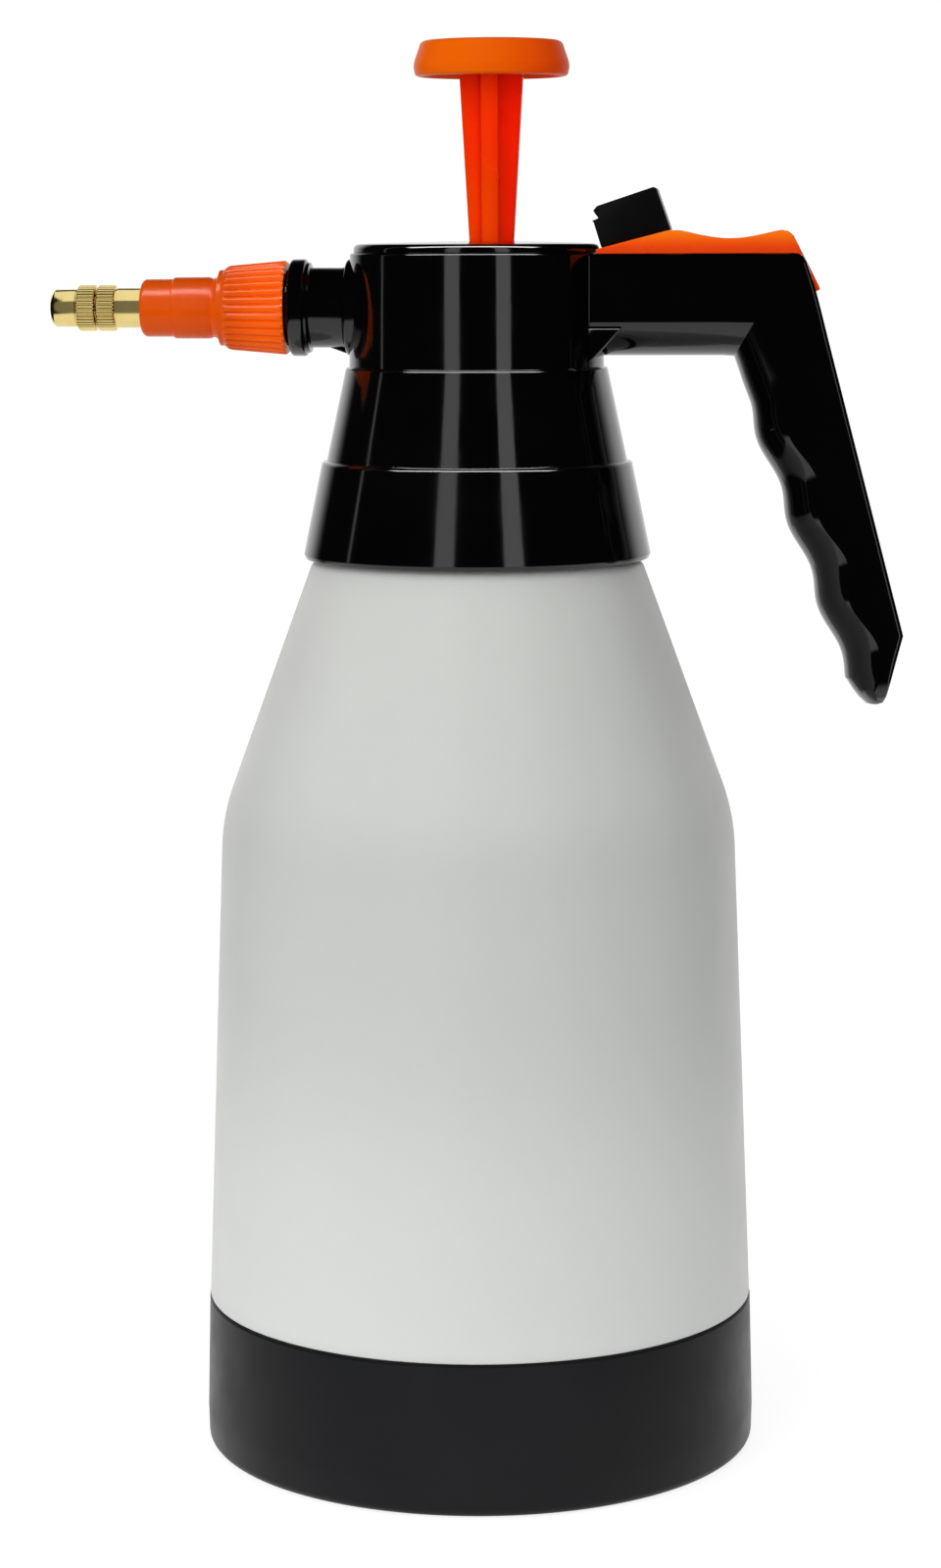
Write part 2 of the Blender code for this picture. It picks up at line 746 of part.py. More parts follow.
def make_trigger_lever(look, origin):
    x, z = PIVOT
    rear = [(70.2, 275.1), (71.6, 272.6), (76.4, 263.2), (74.4, 262.4), (71.6, 266.4)]
    lug = [(x + 4.2, 266.2)]
    for k in range(7):
        turn = -math.pi * k / 6
        lug.append((x + 3.6 * math.cos(turn), z + 3.6 * math.sin(turn)))
    outline = lever_top() + rear + lug + [(x - 4.2, 268.0), (x - 6.4, 271.0)]
    lever = prism("trigger_lever", outline, LEVER_HALF, look, origin)
    under_top = [on_slope(2.7, -LEVER_SKIN), *lever_top(LEVER_SKIN)[1:]]
    hollow = [(31.0, 255), *under_top, (69.2, 273.0), (71.9, 266.6), (73, 255)]
    combine(lever, prism("lever_hollow", hollow, LEVER_HALF - 2.0))
    low, high = PIN_TOP_Z + GAP, 273.6
    boss = [(VALVE_X - 2, low), (VALVE_X + 2, low), (VALVE_X + 2, high), (VALVE_X - 2, high)]
    combine(lever, prism("lever_boss", boss, 3.0), "UNION")
    slot = [on_slope(s, t) for s, t in ((4.0, -4.0), (15.2, -4.0), (15.2, 2.0), (4.0, 2.0))]
    combine(lever, prism("lock_slot", slot, 2.6))
    combine(lever, rod("lever_nose", (0, 0, 250), (0, 0, 280), SECOND_STEP_RADII[1] + GAP, sides=LARGE))
    combine(lever, rod("lever_hole", (x, -20, z), (x, 20, z), PIVOT_PIN_RADIUS + 0.3))
    return lever


def make_lock_slider(look, origin):
    block = [
        (0.3, GAP),
        (0.3, 5.7),
        (-0.5, 6.2),
        (1.3, 6.5),
        (0.3, 8.4),
        (1.6, 9.1),
        (14.6, 10.0),
        (15.2, 9.5),
        (16.0, GAP),
    ]
    slider = prism("lock_slider", [on_slope(s, t) for s, t in block], SLIDER_HALF, look, origin)
    stem = [on_slope(s, t) for s, t in ((4.4, -3.0), (8.8, -3.0), (8.8, 1.0), (4.4, 1.0))]
    combine(slider, prism("lock_stem", stem, 2.2), "UNION")
    foot = [on_slope(s, t) for s, t in ((3.6, -4.0), (9.6, -4.0), (9.6, -2.4), (3.6, -2.4))]
    combine(slider, prism("lock_foot", foot, 4.6), "UNION")
    return slider


def build():
    clear_scene()
    dark_grey = material("base_plastic", (0.016, 0.016, 0.019), 0.5)
    milky = material("milky_polyethylene", (0.66, 0.68, 0.65), 0.42)
    black = material("gloss_black_plastic", (0.006, 0.006, 0.007), 0.12)
    orange = material("orange_plastic", (0.83, 0.10, 0.006), 0.28)
    nut_orange = material("nozzle_orange", (0.72, 0.11, 0.02), 0.35)
    brass = material("brass", (0.72, 0.55, 0.18), 0.25, 1.0)
    rubber = material("black_rubber", (0.02, 0.02, 0.02), 0.75)
    clear_tube = material("tube_polyethylene", (0.75, 0.77, 0.76), 0.3)
    white = material("white_acetal", (0.72, 0.72, 0.7), 0.35)
    steel = material("stainless_steel", (0.6, 0.6, 0.62), 0.25, 1.0)

    make_tank(milky)
    make_base_cup(dark_grey)
    make_neck_gasket(rubber)

    make_head_housing(black)
    make_top_cap(black)
    make_pump_barrel(white)
    make_rod_bush(black)
    make_barrel_o_ring(rubber)
    make_check_valve(rubber)

    pump_axis = (PUMP_X, 0, PISTON_Z[1])
    make_pump_rod(orange, pump_axis)
    make_pump_knob(orange, pump_axis)
    make_piston(white, pump_axis)
    make_piston_seal(rubber, pump_axis)

    make_dip_tube(clear_tube)
    make_strainer(white)
    make_feed_tube(clear_tube)
    make_valve_body(white)
    make_valve_gland(brass)
    make_valve_seal(rubber)
    make_valve_pin(steel)
    make_valve_spring(steel)

    nozzle_axis = (-BOSS_FACE, 0, NOZZLE_Z)
    make_outlet_spout(black)
    make_outlet_washer(rubber, nozzle_axis)
    make_nozzle_nut(nut_orange, nozzle_axis)
    make_nozzle_body(brass, nozzle_axis)
    make_nozzle_cap(brass, nozzle_axis)
    make_nozzle_o_ring(rubber, nozzle_axis)
    make_swirl_core(white, nozzle_axis)

    pivot = (PIVOT[0], 0, PIVOT[1])
    make_handle(black)
    make_pivot_pin(steel)
    make_trigger_lever(orange, pivot)
    slider_at = on_slope(8.0, 0.0)
    make_lock_slider(black, (slider_at[0], 0, slider_at[1]))


build()
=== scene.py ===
"""The pump sprayer's looks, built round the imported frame.

Shapes are worked out in millimetres in the frame's own directions: +Z up, the handle towards +X, the nozzle
towards -X. new_object turns them into metres. Places and overall sizes come from the CAD nodes' boxes.
"""

import math

import bmesh
import bpy
from mathutils import Matrix, Vector


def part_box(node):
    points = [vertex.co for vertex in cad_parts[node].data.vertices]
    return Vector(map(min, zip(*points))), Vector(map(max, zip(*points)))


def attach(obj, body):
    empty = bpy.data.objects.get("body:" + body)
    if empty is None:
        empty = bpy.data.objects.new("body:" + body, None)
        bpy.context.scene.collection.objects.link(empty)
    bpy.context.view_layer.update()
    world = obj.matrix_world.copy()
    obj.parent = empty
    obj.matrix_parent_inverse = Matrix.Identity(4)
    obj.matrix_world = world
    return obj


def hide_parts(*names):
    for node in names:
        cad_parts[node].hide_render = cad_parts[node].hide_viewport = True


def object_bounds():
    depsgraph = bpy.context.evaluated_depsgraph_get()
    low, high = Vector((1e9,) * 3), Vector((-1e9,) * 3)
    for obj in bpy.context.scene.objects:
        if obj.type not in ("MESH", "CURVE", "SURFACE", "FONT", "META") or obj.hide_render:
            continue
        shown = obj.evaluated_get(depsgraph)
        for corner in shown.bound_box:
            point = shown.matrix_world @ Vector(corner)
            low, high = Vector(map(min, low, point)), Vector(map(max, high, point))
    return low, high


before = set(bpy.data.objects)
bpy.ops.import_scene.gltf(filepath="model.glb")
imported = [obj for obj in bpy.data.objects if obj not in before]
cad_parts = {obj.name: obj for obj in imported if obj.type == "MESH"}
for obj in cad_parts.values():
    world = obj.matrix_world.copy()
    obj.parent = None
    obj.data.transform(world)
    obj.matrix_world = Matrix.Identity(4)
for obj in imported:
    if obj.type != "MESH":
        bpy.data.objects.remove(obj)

CAD_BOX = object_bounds()
MM = 0.001
FULL_TURN = 2 * math.pi


def span(node):
    """(lowest, highest) corner of a CAD node at rest, in millimetres."""
    low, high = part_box(node)
    return Vector(low) / MM, Vector(high) / MM


# Sizes read from the frame
_, CUP = span("base_cup")
TANK_FOOT, TANK = span("tank")
HEAD_LOW, HEAD = span("head_housing")
_, CAP = span("top_cap")
KNOB_LOW, KNOB = span("pump_knob")
ROD_LOW, ROD = span("pump_rod")
SPOUT_LOW, SPOUT = span("outlet_spout")
NUT_LOW, NUT = span("nozzle_nut")
BODY_LOW, BODY = span("nozzle_body")
TIP_LOW, TIP = span("nozzle_cap")
_, GRIP = span("handle")
PIVOT_LOW, PIVOT_HIGH = span("trigger_pivot_pin")

COLLAR_Z = HEAD_LOW.z
COLLAR_R = HEAD.y
RIM_Z = HEAD.z
PUMP_X = (KNOB_LOW.x + KNOB.x) / 2
NOZZLE_Z = (SPOUT_LOW.z + SPOUT.z) / 2
PIVOT = (PIVOT_LOW + PIVOT_HIGH) / 2
SPLIT = -TIP.x - 0.15  # where the two brass pieces meet, counted along -X

# Sizes that no box gives
SHOULDER_Z = 145.3
SHOULDER_TOP = (36.9, 203.2)
SHOULDER_R = 58.0
NECK_R = 29.2
FIRST_STEP_Z = 225.2
FIRST_STEP_R = (34.7, 33.7)
SECOND_STEP_Z = 246.1
SECOND_STEP_R = (29.1, 28.5)
RIM_R = 28.2
BOSS_R = 10.75
BOSS_FACE = 29.0
ROD_HOLE = 7.4
BRASS_BORES_R = 4.0  # no bore or groove in the brass is wider, and the knurls are further out
CREASE_Z = 256.2
CROWN_Z = 248.6
FINGER_PITCH = 18.6
SLOPE = math.radians(14.4)
SLOPE_START = (27.9, 272.3)


# ---- Mesh helpers ----


def new_object(name, bm, sharp_deg=35):
    bmesh.ops.remove_doubles(bm, verts=bm.verts[:], dist=0.0005)
    bmesh.ops.recalc_face_normals(bm, faces=bm.faces[:])
    if bm.calc_volume(signed=True) < 0:
        bmesh.ops.reverse_faces(bm, faces=bm.faces[:])
    bm.transform(Matrix.Scale(MM, 4))
    mesh = bpy.data.meshes.new(name)
    bm.to_mesh(mesh)
    bm.free()
    mesh.shade_smooth()
    mesh.set_sharp_from_angle(angle=math.radians(sharp_deg))
    obj = bpy.data.objects.new(name, mesh)
    bpy.context.scene.collection.objects.link(obj)
    return obj


def rounded(points, steps=6):
    """The outline with an arc at each point that gives a third number, the radius."""
    made = []
    for i, point in enumerate(points):
        here = Vector(point[:2])
        if len(point) < 3:
            made.append(tuple(here))
            continue
        before = (Vector(points[i - 1][:2]) - here).normalized()
        after = (Vector(points[(i + 1) % len(points)][:2]) - here).normalized()
        half = before.angle(after) / 2
        reach = point[2] / math.tan(half)
        centre = here + (before + after).normalized() * (point[2] / math.sin(half))
        start = here + before * reach - centre
        turn = start.angle_signed(here + after * reach - centre)
        for k in range(steps + 1):
            made.append(tuple(centre + Matrix.Rotation(-turn * k / steps, 2) @ start))
    return made


def lathe(
    name, outline, sides=160, centre_x=0.0, along_x=False, relief=None, relief_from=0.0, drift=None
):
    """Spins a closed (radius, height) outline.

    relief(angle, height) adds to the radius of points further out than relief_from. drift(radius) gives each
    ring its own centre in x. With along_x the axis is the nozzle's, and heights are counted along -X.
    """
    bm = bmesh.new()
    columns = []
    for k in range(sides):
        angle = FULL_TURN * k / sides
        column = []
        for radius, height in outline:
            reach = radius + (relief(angle, height) if relief and radius > relief_from else 0.0)
            across, up = reach * math.cos(angle), reach * math.sin(angle)
            if along_x:
                column.append(bm.verts.new((-height, across, NOZZLE_Z + up)))
            else:
                middle = drift(radius) if drift else centre_x
                column.append(bm.verts.new((middle + across, up, height)))
        columns.append(column)
    count = len(outline)
    for here, there in zip(columns, columns[1:] + columns[:1]):
        for k in range(count):
            after = (k + 1) % count
            if outline[k][0] == 0 and outline[after][0] == 0:
                continue
            corners = [here[k], here[after], there[after], there[k]]
            if outline[k][0] == 0:
                corners = [here[k], here[after], there[after]]
            elif outline[after][0] == 0:
                corners = [here[k], here[after], there[k]]
            bm.faces.new(corners)
    return new_object(name, bm)


def slab(name, outline, half, bevel=0.5, middle_y=0.0, segments=3):
    """An (x, z) outline made solid across y, with its edges rounded."""
    bm = bmesh.new()
    face = bm.faces.new([bm.verts.new((x, middle_y - half, z)) for x, z in outline])
    moved = bmesh.ops.extrude_face_region(bm, geom=[face])["geom"]
    moved_verts = [item for item in moved if isinstance(item, bmesh.types.BMVert)]
    bmesh.ops.translate(bm, vec=(0, 2 * half, 0), verts=moved_verts)
    if bevel:
        bm.normal_update()
        edges = [e for e in bm.edges if len(e.link_faces) == 2 and e.calc_face_angle(0) > math.radians(24)]
        bmesh.ops.bevel(
            bm, geom=edges, offset=bevel, segments=segments, affect="EDGES", profile=0.5, clamp_overlap=True
        )
    return new_object(name, bm)


def carve(obj, tool, sharp_deg=20):
    """Cuts the tool out of the object and throws the tool away."""
    change = obj.modifiers.new("carve", "BOOLEAN")
    change.operation = "DIFFERENCE"
    change.solver = "EXACT"
    change.object = tool
    bpy.context.view_layer.update()
    graph = bpy.context.evaluated_depsgraph_get()
    made = bpy.data.meshes.new_from_object(obj.evaluated_get(graph))
    obj.modifiers.clear()
    obj.data = made
    made.shade_smooth()
    made.set_sharp_from_angle(angle=math.radians(sharp_deg))
    bpy.data.objects.remove(tool, do_unlink=True)
    return obj


def thread(name, radius, start, pitch, turns, depth, along_x=False):
    """One helical ridge that fades in and out, standing on a cylinder of this radius."""
    bm = bmesh.new()
    per_turn = 96
    count = int(per_turn * turns)
    rows = []
    for k in range(count + 1):
        angle = FULL_TURN * k / per_turn
        height = start + pitch * k / per_turn
        ends = min(1.0, k / 12, (count - k) / 12)
        row = []
        for rise, offset in ((-0.3, -0.9), (depth * ends, -0.35), (depth * ends, 0.35), (-0.3, 0.9)):
            reach = radius + rise
            across, up = reach * math.cos(angle), reach * math.sin(angle)
            if along_x:
                row.append(bm.verts.new((-(height + offset), across, NOZZLE_Z + up)))
            else:
                row.append(bm.verts.new((across, up, height + offset)))
        rows.append(row)
    for one, two in zip(rows, rows[1:]):
        for k in range(4):
            bm.faces.new((one[k], one[(k + 1) % 4], two[(k + 1) % 4], two[k]))
    bm.faces.new(rows[0])
    bm.faces.new(rows[-1])
    return new_object(name, bm, sharp_deg=50)


# ---- Materials ----


class Look:
    """A Principled material with its own small node tree."""

    def __init__(self, name, colour, roughness, metallic=0.0, ior=1.46, coat=0.0, coat_roughness=0.05):
        self.material = bpy.data.materials.new(name)
        self.material.use_nodes = True
        self.tree = self.material.node_tree
        self.shader = self.tree.nodes["Principled BSDF"]
        self.colour = colour
        self.roughness = roughness
        self.set("Base Color", (*colour, 1.0))
        self.set("Roughness", roughness)
        self.set("Metallic", metallic)
        self.set("IOR", ior)
        self.set("Coat Weight", coat)
        self.set("Coat Roughness", coat_roughness)
        self.place = self.tree.nodes.new("ShaderNodeTexCoord").outputs["Object"]
        self.last_colour = None
        self.last_bump = None

    def set(self, socket, value):
        self.shader.inputs[socket].default_value = value

    def noise(self, scale, detail=3.0, stretch=(1, 1, 1)):
        """Noise with this many features per metre, pulled out along an axis by `stretch`."""
        mapping = self.tree.nodes.new("ShaderNodeMapping")
        mapping.inputs["Scale"].default_value = stretch
        texture = self.tree.nodes.new("ShaderNodeTexNoise")
        texture.inputs["Scale"].default_value = scale
        texture.inputs["Detail"].default_value = detail
        self.tree.links.new(self.place, mapping.inputs["Vector"])
        self.tree.links.new(mapping.outputs["Vector"], texture.inputs["Vector"])
        return texture.outputs["Fac"]

    def spread(self, source, low, high):
        """Maps the middle of a noise's range to low..high."""
        node = self.tree.nodes.new("ShaderNodeMapRange")
        node.inputs["From Min"].default_value = 0.3
        node.inputs["From Max"].default_value = 0.7
        node.inputs["To Min"].default_value = low
        node.inputs["To Max"].default_value = high
        self.tree.links.new(source, node.inputs["Value"])
        return node.outputs["Result"]

    def vary_roughness(self, scale, amount, stretch=(1, 1, 1)):
        source = self.noise(scale, stretch=stretch)
        varied = self.spread(source, self.roughness - amount, self.roughness + amount)
        self.tree.links.new(varied, self.shader.inputs["Roughness"])
        return self

    def mix_in(self, other, share):
        """Mixes another colour into the base colour by this share."""
        mix = self.tree.nodes.new("ShaderNodeMix")
        mix.data_type = "RGBA"
        mix.inputs["A"].default_value = (*self.colour, 1.0)
        mix.inputs["B"].default_value = (*other, 1.0)
        if self.last_colour:
            self.tree.links.new(self.last_colour, mix.inputs["A"])
        self.last_colour = mix.outputs["Result"]
        self.tree.links.new(share, mix.inputs["Factor"])
        self.tree.links.new(self.last_colour, self.shader.inputs["Base Color"])

    def vary_colour(self, scale, other, amount, stretch=(1, 1, 1)):
        """Mixes in another colour, up to `amount`, in patches."""
        self.mix_in(other, self.spread(self.noise(scale, stretch=stretch), 0.0, amount))
        return self

    def paint_light_and_shade_along(self, axis, start, end, other):
        """Painted light and shade: turns to another colour from `start` to `end`, in millimetres along X, Y
        or Z.
        """
        apart = self.tree.nodes.new("ShaderNodeSeparateXYZ")
        ramp = self.tree.nodes.new("ShaderNodeMapRange")
        ramp.interpolation_type = "SMOOTHSTEP"
        ramp.inputs["From Min"].default_value = start * MM
        ramp.inputs["From Max"].default_value = end * MM
        self.tree.links.new(self.place, apart.inputs["Vector"])
        self.tree.links.new(apart.outputs[axis], ramp.inputs["Value"])
        self.mix_in(other, ramp.outputs["Result"])
        return self

    def bump(self, scale, strength, depth_mm, detail=2.0, stretch=(1, 1, 1)):
        node = self.tree.nodes.new("ShaderNodeBump")
        node.inputs["Strength"].default_value = strength
        node.inputs["Distance"].default_value = depth_mm * MM
        self.tree.links.new(self.noise(scale, detail, stretch), node.inputs["Height"])
        if self.last_bump:
            self.tree.links.new(self.last_bump, node.inputs["Normal"])
        self.last_bump = node.outputs["Normal"]
        self.tree.links.new(self.last_bump, self.shader.inputs["Normal"])
        return self


def milky_plastic():
    look = Look("milky_polyethylene_look", (0.655, 0.665, 0.635), 0.42, ior=1.5)
    look.set("Subsurface Weight", 0.6)
    look.set("Subsurface Radius", (1.0, 0.95, 0.85))
    look.set("Subsurface Scale", 0.008)
    look.vary_colour(18, (0.600, 0.608, 0.578), 0.5)
    # Painted shade: the tank darkens below the shoulder, from Z 158 down to 138, and pales part of the way
    # back from Z 110 down to 60.
    look.paint_light_and_shade_along("Z", 158.0, 138.0, (0.570, 0.580, 0.552))
    look.paint_light_and_shade_along("Z", 110.0, 60.0, (0.635, 0.645, 0.612))
    look.vary_roughness(60, 0.06)
    look.bump(140, 0.12, 0.5, detail=1.0)
    look.bump(1500, 0.22, 0.12, detail=2.0)
    return look.material


def base_plastic():
    look = Look("base_plastic_look", (0.0058, 0.0060, 0.0070), 0.38)
    look.set("Specular IOR Level", 0.16)
    look.vary_colour(25, (0.0085, 0.0087, 0.0098), 0.6)
    look.vary_roughness(90, 0.05)
    look.bump(2200, 0.12, 0.06)
    return look.material


def gloss_black():
    look = Look("gloss_black_look", (0.0008, 0.0008, 0.0010), 0.08, ior=1.5)
    look.vary_roughness(70, 0.025)
    look.vary_colour(30, (0.0018, 0.0018, 0.0020), 0.5)
    look.bump(160, 0.04, 0.25, detail=1.0)
    look.bump(900, 0.02, 0.03)
    return look.material


def satin_black():
    look = Look("satin_black_look", (0.0013, 0.0013, 0.0015), 0.32)
    look.set("Specular IOR Level", 0.12)
    look.vary_roughness(80, 0.05)
    look.vary_colour(40, (0.0025, 0.0025, 0.0028), 0.5)
    look.bump(2400, 0.15, 0.05)
    return look.material


def orange_plastic(name, colour, deeper, roughness, translucency=0.1):
    look = Look(name, colour, roughness, ior=1.48)
    look.set("Specular IOR Level", 0.16)
    look.set("Subsurface Weight", translucency)
    look.set("Subsurface Radius", (1.0, 0.25, 0.05))
    look.set("Subsurface Scale", 0.004)
    look.vary_colour(35, deeper, 0.5)
    look.vary_roughness(110, 0.05)
    look.bump(220, 0.03, 0.12, detail=1.0)
    look.bump(2200, 0.05, 0.03)
    return look


def turned_brass():
    look = Look("turned_brass_look", (0.80, 0.64, 0.26), 0.15, metallic=1.0)
    look.vary_colour(160, (0.58, 0.43, 0.13), 0.35)
    look.vary_roughness(220, 0.04, stretch=(6, 1, 1))
    look.bump(380, 0.08, 0.04, stretch=(9, 1, 1))
    return look.material


def black_rubber():
    look = Look("rubber_look", (0.018, 0.018, 0.018), 0.75)
    look.vary_colour(120, (0.035, 0.034, 0.033), 0.6)
    look.vary_roughness(150, 0.08)
    look.bump(1800, 0.25, 0.08)
    return look.material


def white_moulding():
    look = Look("white_acetal_look", (0.72, 0.72, 0.69), 0.35)
    look.vary_colour(60, (0.66, 0.65, 0.61), 0.5)
    look.vary_roughness(120, 0.06)
    look.bump(1500, 0.1, 0.05)
    return look.material


def tube_plastic():
    look = Look("tube_polyethylene_look", (0.74, 0.76, 0.75), 0.28, ior=1.5)
    look.set("Subsurface Weight", 0.5)
    look.set("Subsurface Scale", 0.002)
    look.vary_colour(90, (0.68, 0.70, 0.69), 0.5)
    look.vary_roughness(140, 0.05)
    look.bump(900, 0.08, 0.05)
    return look.material


def drawn_steel():
    look = Look("drawn_steel_look", (0.6, 0.6, 0.62), 0.24, metallic=1.0)
    look.vary_colour(300, (0.5, 0.5, 0.51), 0.5)
    look.vary_roughness(400, 0.06)
    look.bump(1500, 0.1, 0.03)
    return look.material


def piece(obj, look, body, slot, *nodes):
    """Gives a piece its material and its body, and hides the CAD nodes that it stands for; its slot is not
    used.
    """
    obj.data.materials.clear()
    obj.data.materials.append(look)
    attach(obj, body)
    if nodes:
        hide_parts(*nodes)
    return obj


# ---- Tank and base cup ----


def make_tank(look):
    foot = TANK_FOOT.z
    seam = CUP.z + 0.3
    foot_r = TANK.x - 1.9
    top_r, top_z = SHOULDER_TOP
    outer = [
        (0, foot + 3.0),
        (40, foot + 2.0, 8.0),
        (50, foot, 6.0),
        (foot_r, foot, 5.0),
        (foot_r, seam, 0.3),
        (TANK.x, seam, 0.4),
        (SHOULDER_R, SHOULDER_Z, 45.0),
        (top_r, top_z, 3.5),
        (NECK_R, top_z + 1.4, 0.6),
        (NECK_R, TANK.z, 0.7),
    ]
    inner = [
        (NECK_R - 3.0, TANK.z, 0.7),
        (NECK_R - 3.0, top_z - 0.6, 2.0),
        (top_r - 2.6, top_z - 2.4, 3.0),
        (SHOULDER_R - 1.9, SHOULDER_Z - 0.6, 40.0),
        (TANK.x - 2.0, CUP.z + 4.0),
        (foot_r - 1.8, CUP.z - 2.0),
        (foot_r - 1.8, foot + 2.0, 4.0),
        (49, foot + 2.0),
        (40, foot + 4.0),
        (0, foot + 5.0),
    ]
    tank = lathe("tank_shell", rounded(outer + inner, steps=10), sides=192)
    piece(tank, look, "tank", "milky_tank", "tank")
    ridge = thread("neck_thread", NECK_R, start=208.0, pitch=4.0, turns=2.6, depth=1.3)
    piece(ridge, look, "tank", "milky_tank")


def make_base_cup(look):
    radius = CUP.x
    inner = TANK.x - 1.6
    outline = [
        (0, 0),
        (22, 0, 0.4),
        (23, 1.0, 0.4),
        (46, 1.0, 0.4),
        (47, 0, 0.4),
        (radius - 0.2, 0, 2.2),
        (radius, 8.0, 20.0),
        (TANK.x + 0.15, CUP.z - 0.1, 0.45),
        (inner, CUP.z, 0.25),
        (inner, 2.6, 4.0),
        (0, 2.6),
    ]
    cup = lathe("base_cup_shell", rounded(outline), sides=192)
    piece(cup, look, "tank", "dark_base", "base_cup")


# ---- Head ----


def make_head(look):
    wall = 2.2
    outline = [
        (RIM_R - wall, RIM_Z - 7.4),
        (SECOND_STEP_R[1] - wall - 0.2, SECOND_STEP_Z),
        (30.4, FIRST_STEP_Z + 6.2),
        (24.6, FIRST_STEP_Z + 6.2),
        (24.6, FIRST_STEP_Z + 3.5),
        (30.9, FIRST_STEP_Z + 3.5),
        (30.9, COLLAR_Z + 2.8),
        (32.7, COLLAR_Z + 2.8),
        (32.7, FIRST_STEP_Z - 4.5),
        (COLLAR_R - wall, COLLAR_Z, 0.3),
        (COLLAR_R - 0.35, COLLAR_Z, 0.25),
        (COLLAR_R, COLLAR_Z + 1.0, 0.5),
        (FIRST_STEP_R[0] + 0.05, FIRST_STEP_Z, 0.95),
        (FIRST_STEP_R[1], FIRST_STEP_Z + 0.15, 0.2),
        (SECOND_STEP_R[0] + 0.15, SECOND_STEP_Z, 0.6),
        (SECOND_STEP_R[1], SECOND_STEP_Z + 0.15, 0.15),
        (RIM_R, RIM_Z, 0.55),
        (RIM_R - wall, RIM_Z, 0.3),
        (RIM_R - wall, RIM_Z - 5.0, 0.4),
        (20, RIM_Z - 5.0),
        (20, RIM_Z - 7.4),
    ]
    head = lathe("head_shell", rounded(outline), sides=224)
    piece(head, look, "head", "gloss_black", "head_housing")
    face = BOSS_FACE
    boss_outline = [
        (0, 24.0),
        (BOSS_R + 0.2, 24.0),
        (BOSS_R, face, 0.7),
        (6.3, face, 0.3),
        (6.3, 25.0),
        (0, 25.0),
    ]
    boss = lathe("outlet_boss", rounded(boss_outline), sides=128, along_x=True)
    piece(boss, look, "head", "gloss_black", "head_housing")


def make_top_cap(look):
    top = CAP.z + 0.2
    skirt_low = RIM_Z + 0.04

    def drift(radius):
        share = (CAP.x - 4.0 - radius) / (CAP.x - 4.0 - ROD_HOLE - 1.0)
        return PUMP_X * min(1.0, max(0.0, share))

    outline = [
        (ROD_HOLE, top - 2.9, 0.3),
        (ROD_HOLE, top - 0.05, 0.5),
        (12.0, top - 0.1, 40.0),
        (22.0, top - 0.35, 12.0),
        (CAP.x, top - 0.65, 1.25),
        (CAP.x, skirt_low, 0.2),
        (25.6, skirt_low),
        (25.6, RIM_Z - 4.2),
        (23.2, RIM_Z - 4.2),
        (23.2, top - 2.9),
    ]
    cap = lathe("top_cap_shell", rounded(outline), sides=192, drift=drift)
    piece(cap, look, "head", "gloss_black", "top_cap")


# ---- Pump ----


def make_rod(look):
    """A cross-shaped rod with rounded ribs and filleted roots, widening towards the knob."""
    rib = 1.9
    narrow, wide = 4.6, (ROD.x - ROD_LOW.x) / 2
    taper_z, top_z = RIM_Z - 3.4, KNOB_LOW.z + 2.2
    heights = [ROD_LOW.z, taper_z] + [taper_z + (top_z - taper_z) * k / 24 for k in range(1, 25)]
    bm = bmesh.new()
    rings = []
    for z in heights:
        half = narrow + (wide - narrow) * max(0.0, (z - taper_z) / (top_z - taper_z))
        quarter = rounded(
            [(rib, -rib, 1.9), (rib, -half, 0.6), (-rib, -half, 0.6), (-rib, -rib)], steps=4
        )[:-1]
        ring = []
        for turn in range(4):
            spin = Matrix.Rotation(-turn * math.pi / 2, 2)
            for point in quarter:
                at = spin @ Vector(point)
                ring.append(bm.verts.new((PUMP_X + at.x, at.y, z)))
        rings.append(ring)
    count = len(rings[0])
    for low, high in zip(rings, rings[1:]):
        for k in range(count):
            bm.faces.new((low[k], low[(k + 1) % count], high[(k + 1) % count], high[k]))
    bm.faces.new(rings[0])
    bm.faces.new(rings[-1])
    rod = new_object("pump_rod_cross", bm)
    piece(rod, look, "plunger", "orange_plastic", "pump_rod")


def make_knob(look):
    low, high = KNOB_LOW.z, KNOB.z
    radius = (KNOB.x - KNOB_LOW.x) / 2
    outline = [
        (0, high),
        (radius * 0.7, high - 0.05, 20.0),
        (radius * 0.895, high - 0.3, 1.5),
        (radius, low + 2.6, 4.0),
        (radius - 0.5, low + 0.4, 0.8),
        (radius - 1.7, low, 0.5),
        (radius - 2.7, low + 1.7, 0.8),
        (0, low + 1.9),
    ]
    knob = lathe("pump_knob_disc", rounded(outline, steps=10), sides=128, centre_x=PUMP_X)
    piece(knob, look, "plunger", "orange_plastic", "pump_knob")


# ---- Outlet and nozzle ----


